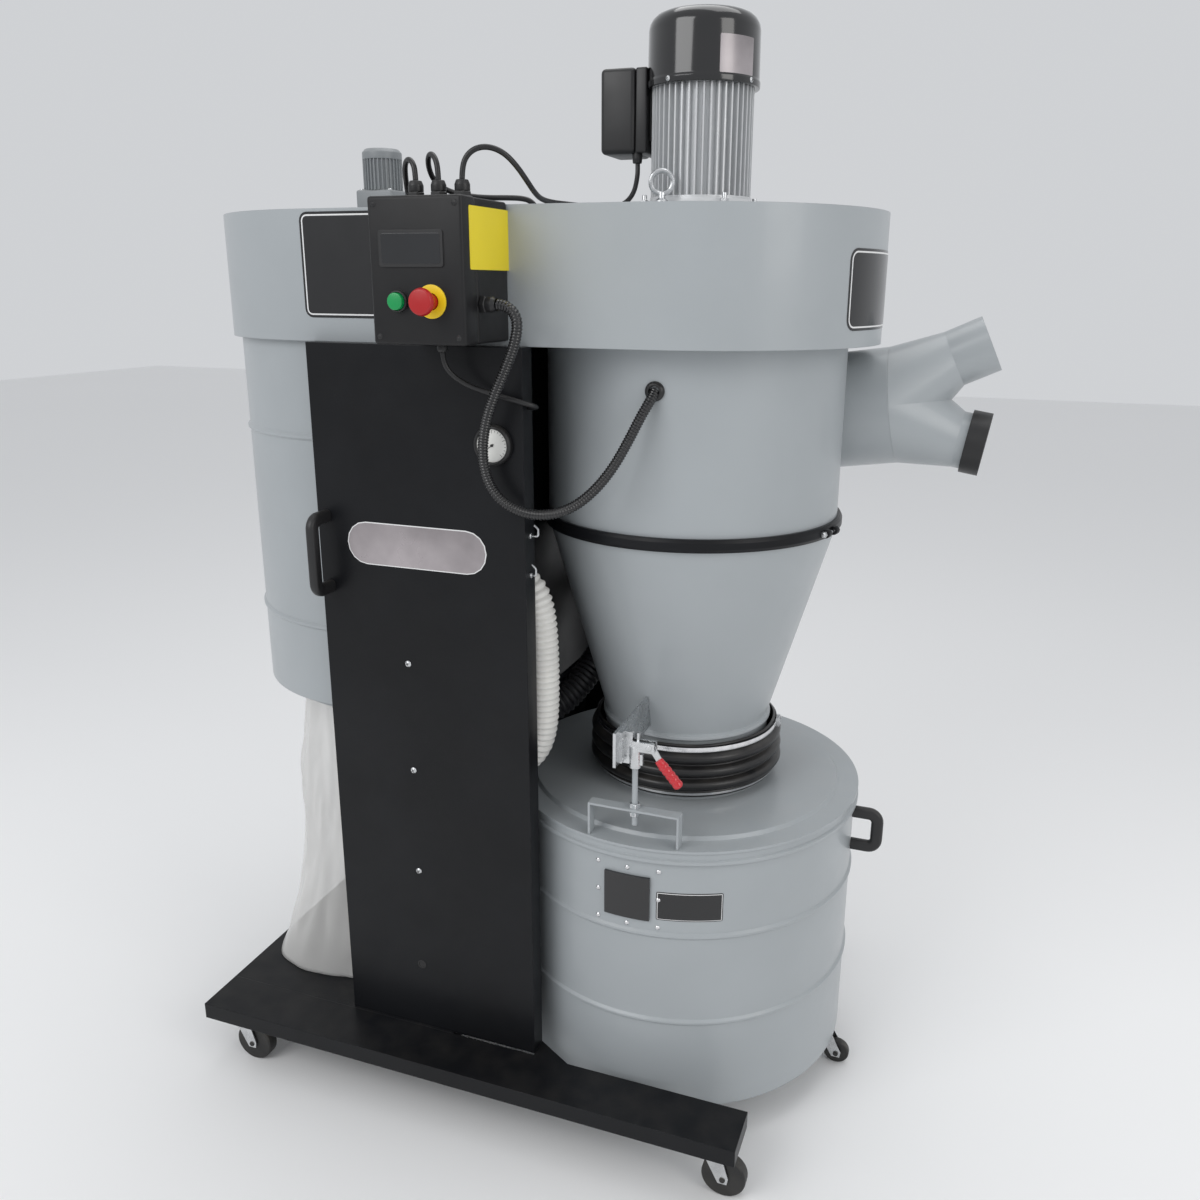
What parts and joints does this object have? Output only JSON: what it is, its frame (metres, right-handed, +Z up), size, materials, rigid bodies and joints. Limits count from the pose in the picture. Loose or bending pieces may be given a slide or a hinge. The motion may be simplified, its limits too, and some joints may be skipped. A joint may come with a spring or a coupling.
{
  "type": "mobile cyclone separator",
  "caption": "Mobile cyclone separator: fan housing over a cyclone and cone, filter barrel with dust bag, and a wheeled collecting drum with a clamped lid.",
  "frame": {"origin": "on the floor under the middle of the whole machine", "axes": "+Z up, +X from the filter side to the cyclone side and its inlet, -Y the front with the column and the controls"},
  "size_m": [1.403, 0.935, 1.93],
  "materials": {
    "black": "semi-gloss black powder coat",
    "grey": "semi-gloss light blue-grey powder coat",
    "black_plastic": "satin black moulded plastic",
    "zinc": "bright zinc plate",
    "tyre": "solid black tread",
    "red_grip": "dipped red grip on a zinc lever",
    "rubber": "ribbed black rubber",
    "clear_film": "translucent polythene film",
    "dark_window": "smoked clear plastic",
    "silver": "silver painted die casting",
    "cowl_black": "gloss black",
    "control_black": "satin black",
    "gear_grey": "mid grey enamel",
    "gauge_face": "white dial in a black rim",
    "green_button": "green moulded plastic",
    "red_button": "red moulded plastic",
    "conduit_black": "ribbed black nylon",
    "hose_white": "ribbed white hose",
    "hose_dark": "ribbed dark grey hose",
    "cable_black": "black cable sheath"
  },
  "bodies": {
    "machine": {"front_rail": "black", "rear_rail": "black", "base_platform": "black", "column_front": "black", "column_rear": "black", "column_web": "black", "housing_skirt": "grey", "housing_roof": "grey", "housing_floor": "grey", "filter_barrel": "grey", "filter_bag": "clear_film", "gearmotor": "gear_grey", "motor_body": "silver", "motor_cowl": "cowl_black", "capacitor_box": "cowl_black", "cyclone_barrel": "grey", "clamp_ring": "black", "cyclone_cone": "grey", "inlet_duct": "grey", "inlet_wye": "grey", "inlet_cap": "black_plastic", "bellows": "rubber", "clamp_front": "zinc", "clamp_rear": "zinc", "drum_shell": "grey", "drum_window": "dark_window", "drum_handle": "black_plastic", "column_handle": "black_plastic", "gauge": "gauge_face", "control_box": "control_black", "conduit": "conduit_black", "hose_front": "hose_white", "hose_rear": "hose_dark", "cable_motor": "cable_black", "cable_gearmotor": "cable_black", "cable_roof": "cable_black", "cable_below": "cable_black"},
    "lid": {"drum_lid": "grey", "lid_bracket_front": "grey", "lid_bracket_rear": "grey"},
    "clamp_lever_front": {"clamp_handle_front": "red_grip"},
    "clamp_lever_rear": {"clamp_handle_rear": "red_grip"},
    "start": {"start_button": "green_button"},
    "stop": {"stop_button": "red_button"},
    "caster_front_left": {"caster_fork_front_left": "zinc"},
    "wheel_front_left": {"caster_wheel_front_left": "tyre"},
    "caster_front_right": {"caster_fork_front_right": "zinc"},
    "wheel_front_right": {"caster_wheel_front_right": "tyre"},
    "caster_rear_left": {"caster_fork_rear_left": "zinc"},
    "wheel_rear_left": {"caster_wheel_rear_left": "tyre"},
    "caster_rear_right": {"caster_fork_rear_right": "zinc"},
    "wheel_rear_right": {"caster_wheel_rear_right": "tyre"},
    "drum_caster_right": {"drum_fork_right": "zinc"},
    "drum_roller_right": {"drum_wheel_right": "tyre"},
    "drum_caster_rear": {"drum_fork_rear": "zinc"},
    "drum_roller_rear": {"drum_wheel_rear": "tyre"},
    "drum_caster_left": {"drum_fork_left": "zinc"},
    "drum_roller_left": {"drum_wheel_left": "tyre"},
    "drum_caster_front": {"drum_fork_front": "zinc"},
    "drum_roller_front": {"drum_wheel_front": "tyre"}
  },
  "joints": [
    {"name": "lid_lift", "type": "slide", "parent": "machine", "child": "lid", "axis": [0, 0, 1], "range_m": [0, 0.032], "deforming": ["bellows"]},
    {"name": "clamp_lever_front", "type": "hinge", "parent": "machine", "child": "clamp_lever_front", "pos_m": [0.219, -0.281, 0.776], "axis": [0, -1, 0], "range_deg": [0, 95]},
    {"name": "clamp_lever_rear", "type": "hinge", "parent": "machine", "child": "clamp_lever_rear", "pos_m": [0.219, 0.339, 0.776], "axis": [0, -1, 0], "range_deg": [0, 95]},
    {"name": "start_push", "type": "slide", "parent": "machine", "child": "start", "axis": [0, 1, 0], "range_m": [0, 0.004], "stiffness_N_per_m": 900},
    {"name": "stop_push", "type": "slide", "parent": "machine", "child": "stop", "axis": [0, 1, 0], "range_m": [0, 0.004], "stiffness_N_per_m": 1500},
    {"name": "swivel_front_left", "type": "hinge", "parent": "machine", "child": "caster_front_left", "pos_m": [-0.6045, -0.362, 0.104], "axis": [0, 0, 1], "continuous": true},
    {"name": "roll_front_left", "type": "hinge", "parent": "caster_front_left", "child": "wheel_front_left", "pos_m": [-0.5775, -0.362, 0.039], "axis": [0, 1, 0], "continuous": true},
    {"name": "swivel_front_right", "type": "hinge", "parent": "machine", "child": "caster_front_right", "pos_m": [0.3645, -0.362, 0.104], "axis": [0, 0, 1], "continuous": true},
    {"name": "roll_front_right", "type": "hinge", "parent": "caster_front_right", "child": "wheel_front_right", "pos_m": [0.3915, -0.362, 0.039], "axis": [0, 1, 0], "continuous": true},
    {"name": "swivel_rear_left", "type": "hinge", "parent": "machine", "child": "caster_rear_left", "pos_m": [-0.6045, 0.42, 0.104], "axis": [0, 0, 1], "continuous": true},
    {"name": "roll_rear_left", "type": "hinge", "parent": "caster_rear_left", "child": "wheel_rear_left", "pos_m": [-0.5775, 0.42, 0.039], "axis": [0, 1, 0], "continuous": true},
    {"name": "swivel_rear_right", "type": "hinge", "parent": "machine", "child": "caster_rear_right", "pos_m": [0.3645, 0.42, 0.104], "axis": [0, 0, 1], "continuous": true},
    {"name": "roll_rear_right", "type": "hinge", "parent": "caster_rear_right", "child": "wheel_rear_right", "pos_m": [0.3915, 0.42, 0.039], "axis": [0, 1, 0], "continuous": true},
    {"name": "drum_swivel_right", "type": "hinge", "parent": "machine", "child": "drum_caster_right", "pos_m": [0.498, 0.029, 0.075], "axis": [0, 0, 1], "continuous": true},
    {"name": "drum_roll_right", "type": "hinge", "parent": "drum_caster_right", "child": "drum_roller_right", "pos_m": [0.526, 0.029, 0.025], "axis": [0, 1, 0], "continuous": true},
    {"name": "drum_swivel_rear", "type": "hinge", "parent": "machine", "child": "drum_caster_rear", "pos_m": [0.193, 0.334, 0.075], "axis": [0, 0, 1], "continuous": true},
    {"name": "drum_roll_rear", "type": "hinge", "parent": "drum_caster_rear", "child": "drum_roller_rear", "pos_m": [0.221, 0.334, 0.025], "axis": [0, 1, 0], "continuous": true},
    {"name": "drum_swivel_left", "type": "hinge", "parent": "machine", "child": "drum_caster_left", "pos_m": [-0.112, 0.029, 0.075], "axis": [0, 0, 1], "continuous": true},
    {"name": "drum_roll_left", "type": "hinge", "parent": "drum_caster_left", "child": "drum_roller_left", "pos_m": [-0.084, 0.029, 0.025], "axis": [0, 1, 0], "continuous": true},
    {"name": "drum_swivel_front", "type": "hinge", "parent": "machine", "child": "drum_caster_front", "pos_m": [0.193, -0.276, 0.075], "axis": [0, 0, 1], "continuous": true},
    {"name": "drum_roll_front", "type": "hinge", "parent": "drum_caster_front", "child": "drum_roller_front", "pos_m": [0.221, -0.276, 0.025], "axis": [0, 1, 0], "continuous": true}
  ],
  "couplings": [
    {"joint": "clamp_lever_front", "follows": "lid_lift", "rad_per_m": 50},
    {"joint": "clamp_lever_rear", "follows": "lid_lift", "rad_per_m": 50}
  ]
}
